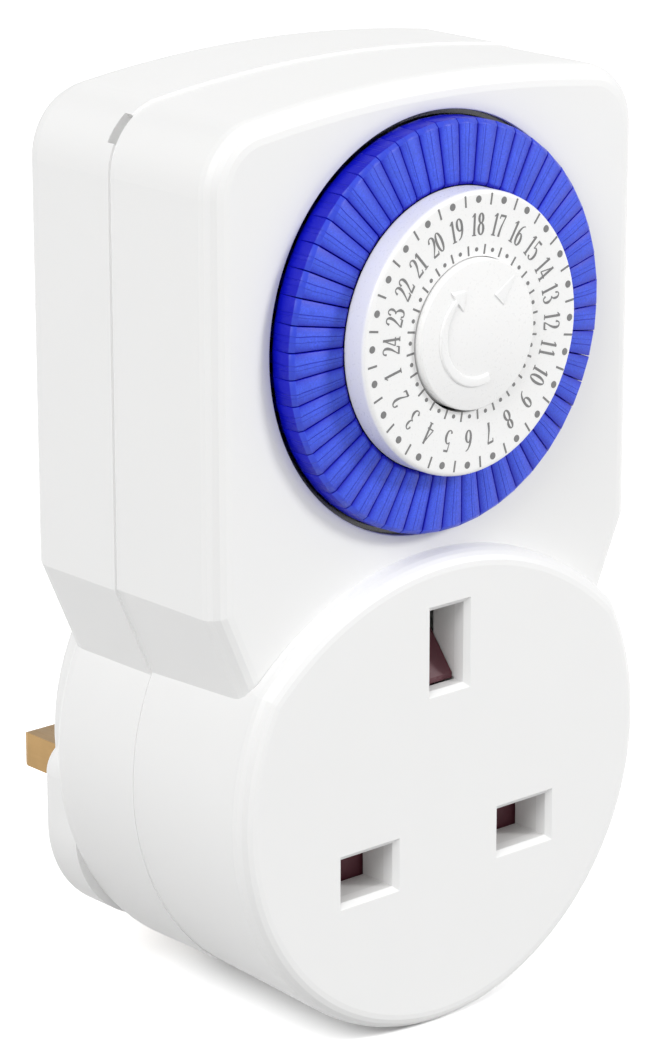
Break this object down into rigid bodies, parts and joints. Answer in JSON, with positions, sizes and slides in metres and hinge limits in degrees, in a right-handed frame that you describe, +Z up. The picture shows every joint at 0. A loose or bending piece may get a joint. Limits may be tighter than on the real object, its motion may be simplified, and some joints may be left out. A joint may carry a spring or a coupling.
{
  "type": "plug-in timer switch",
  "caption": "Mains plug-in timer switch: white housing with a day dial ringed by push-down segments above a shuttered three-pin socket, plug pins behind.",
  "frame": {"origin": "on the wall face of the plug base, midway between the line and neutral pins", "axes": "+Y into the wall along the pins, +Z up through the earth pin and the dial, +X to the right seen from the front"},
  "size_m": [0.0599, 0.0634, 0.1016],
  "materials": {
    "housing_white": "fine spark-eroded texture",
    "inner_white": "plain moulded",
    "dial_white": "semi-gloss with grey print",
    "shutter_maroon": "plain moulded",
    "segment_blue": "semi-gloss",
    "carrier_black": "plain moulded",
    "sleeve_black": "plain moulded",
    "brass": "satin",
    "steel": "zinc plated",
    "gear_ivory": "plain moulded",
    "slider_red": "plain moulded"
  },
  "bodies": {
    "housing": {"front_shell": "housing_white", "socket_face": "housing_white", "rear_shell": "housing_white", "aperture_block": "inner_white", "contact_carrier": "inner_white", "shutter_spring": "steel", "line_pin": "brass", "neutral_pin": "brass", "earth_pin": "brass", "line_pin_sleeve": "sleeve_black", "neutral_pin_sleeve": "sleeve_black", "line_contact": "brass", "neutral_contact": "brass", "earth_contact": "brass", "housing_screws": "steel", "dial_pillar": "inner_white", "dial_cap": "dial_white", "movement_plate": "steel", "motor_can": "steel", "gear_spindle": "steel", "lever_pin": "steel", "fixed_contact": "brass"},
    "dial": {"dial_disc": "dial_white", "segment_carrier": "carrier_black"},
    "motor_pinion": {"motor_pinion": "gear_ivory"},
    "reduction_gear": {"reduction_gear": "gear_ivory"},
    "shutter": {"shutter": "shutter_maroon"},
    "lever": {"switch_lever": "gear_ivory", "moving_contact": "brass"},
    "override": {"override_slider": "slider_red"},
    "hour_01": {"hour_segments_01": "segment_blue"},
    "hour_02": {"hour_segments_02": "segment_blue"},
    "hour_03": {"hour_segments_03": "segment_blue"},
    "hour_04": {"hour_segments_04": "segment_blue"},
    "hour_05": {"hour_segments_05": "segment_blue"},
    "hour_06": {"hour_segments_06": "segment_blue"},
    "hour_07": {"hour_segments_07": "segment_blue"},
    "hour_08": {"hour_segments_08": "segment_blue"},
    "hour_09": {"hour_segments_09": "segment_blue"},
    "hour_10": {"hour_segments_10": "segment_blue"},
    "hour_11": {"hour_segments_11": "segment_blue"},
    "hour_12": {"hour_segments_12": "segment_blue"},
    "hour_13": {"hour_segments_13": "segment_blue"},
    "hour_14": {"hour_segments_14": "segment_blue"},
    "hour_15": {"hour_segments_15": "segment_blue"},
    "hour_16": {"hour_segments_16": "segment_blue"},
    "hour_17": {"hour_segments_17": "segment_blue"},
    "hour_18": {"hour_segments_18": "segment_blue"},
    "hour_19": {"hour_segments_19": "segment_blue"},
    "hour_20": {"hour_segments_20": "segment_blue"},
    "hour_21": {"hour_segments_21": "segment_blue"},
    "hour_22": {"hour_segments_22": "segment_blue"},
    "hour_23": {"hour_segments_23": "segment_blue"},
    "hour_24": {"hour_segments_24": "segment_blue"}
  },
  "joints": [
    {"name": "dial_spin", "type": "hinge", "parent": "housing", "child": "dial", "pos_m": [0, -0.0367, 0.0562], "axis": [0, 1, 0], "continuous": true},
    {"name": "reduction_spin", "type": "hinge", "parent": "housing", "child": "reduction_gear", "pos_m": [-0.01157, -0.0207, 0.04241], "axis": [0, 1, 0], "continuous": true},
    {"name": "motor_spin", "type": "hinge", "parent": "housing", "child": "motor_pinion", "pos_m": [0.00292, -0.0207, 0.04629], "axis": [0, 1, 0], "continuous": true},
    {"name": "shutter_slide", "type": "slide", "parent": "housing", "child": "shutter", "axis": [0, 0, -1], "range_m": [0, 0.0054], "stiffness_N_per_m": 100, "springref_m": -0.003, "deforming": ["shutter_spring"]},
    {"name": "lever_tilt", "type": "hinge", "parent": "housing", "child": "lever", "pos_m": [0.025, -0.0232, 0.05656], "axis": [0, 0, -1], "range_deg": [0, 18]},
    {"name": "override_slide", "type": "slide", "parent": "housing", "child": "override", "axis": [0, 0, 1], "range_m": [0, 0.005]},
    {"name": "hour_01_press", "type": "slide", "parent": "dial", "child": "hour_01", "axis": [0, 1, 0], "range_m": [0, 0.0023]},
    {"name": "hour_02_press", "type": "slide", "parent": "dial", "child": "hour_02", "axis": [0, 1, 0], "range_m": [0, 0.0023]},
    {"name": "hour_03_press", "type": "slide", "parent": "dial", "child": "hour_03", "axis": [0, 1, 0], "range_m": [0, 0.0023]},
    {"name": "hour_04_press", "type": "slide", "parent": "dial", "child": "hour_04", "axis": [0, 1, 0], "range_m": [0, 0.0023]},
    {"name": "hour_05_press", "type": "slide", "parent": "dial", "child": "hour_05", "axis": [0, 1, 0], "range_m": [0, 0.0023]},
    {"name": "hour_06_press", "type": "slide", "parent": "dial", "child": "hour_06", "axis": [0, 1, 0], "range_m": [0, 0.0023]},
    {"name": "hour_07_press", "type": "slide", "parent": "dial", "child": "hour_07", "axis": [0, 1, 0], "range_m": [0, 0.0023]},
    {"name": "hour_08_press", "type": "slide", "parent": "dial", "child": "hour_08", "axis": [0, 1, 0], "range_m": [0, 0.0023]},
    {"name": "hour_09_press", "type": "slide", "parent": "dial", "child": "hour_09", "axis": [0, 1, 0], "range_m": [0, 0.0023]},
    {"name": "hour_10_press", "type": "slide", "parent": "dial", "child": "hour_10", "axis": [0, 1, 0], "range_m": [0, 0.0023]},
    {"name": "hour_11_press", "type": "slide", "parent": "dial", "child": "hour_11", "axis": [0, 1, 0], "range_m": [0, 0.0023]},
    {"name": "hour_12_press", "type": "slide", "parent": "dial", "child": "hour_12", "axis": [0, 1, 0], "range_m": [0, 0.0023]},
    {"name": "hour_13_press", "type": "slide", "parent": "dial", "child": "hour_13", "axis": [0, 1, 0], "range_m": [0, 0.0023]},
    {"name": "hour_14_press", "type": "slide", "parent": "dial", "child": "hour_14", "axis": [0, 1, 0], "range_m": [0, 0.0023]},
    {"name": "hour_15_press", "type": "slide", "parent": "dial", "child": "hour_15", "axis": [0, 1, 0], "range_m": [0, 0.0023]},
    {"name": "hour_16_press", "type": "slide", "parent": "dial", "child": "hour_16", "axis": [0, 1, 0], "range_m": [0, 0.0023]},
    {"name": "hour_17_press", "type": "slide", "parent": "dial", "child": "hour_17", "axis": [0, 1, 0], "range_m": [0, 0.0023]},
    {"name": "hour_18_press", "type": "slide", "parent": "dial", "child": "hour_18", "axis": [0, 1, 0], "range_m": [0, 0.0023]},
    {"name": "hour_19_press", "type": "slide", "parent": "dial", "child": "hour_19", "axis": [0, 1, 0], "range_m": [0, 0.0023]},
    {"name": "hour_20_press", "type": "slide", "parent": "dial", "child": "hour_20", "axis": [0, 1, 0], "range_m": [0, 0.0023]},
    {"name": "hour_21_press", "type": "slide", "parent": "dial", "child": "hour_21", "axis": [0, 1, 0], "range_m": [0, 0.0023]},
    {"name": "hour_22_press", "type": "slide", "parent": "dial", "child": "hour_22", "axis": [0, 1, 0], "range_m": [0, 0.0023]},
    {"name": "hour_23_press", "type": "slide", "parent": "dial", "child": "hour_23", "axis": [0, 1, 0], "range_m": [0, 0.0023]},
    {"name": "hour_24_press", "type": "slide", "parent": "dial", "child": "hour_24", "axis": [0, 1, 0], "range_m": [0, 0.0023]}
  ],
  "couplings": [
    {"joint": "reduction_spin", "follows": "dial_spin", "ratio": -5},
    {"joint": "motor_spin", "follows": "dial_spin", "ratio": 20},
    {"joint": "lever_tilt", "follows": "hour_12_press", "rad_per_m": 136.5}
  ]
}
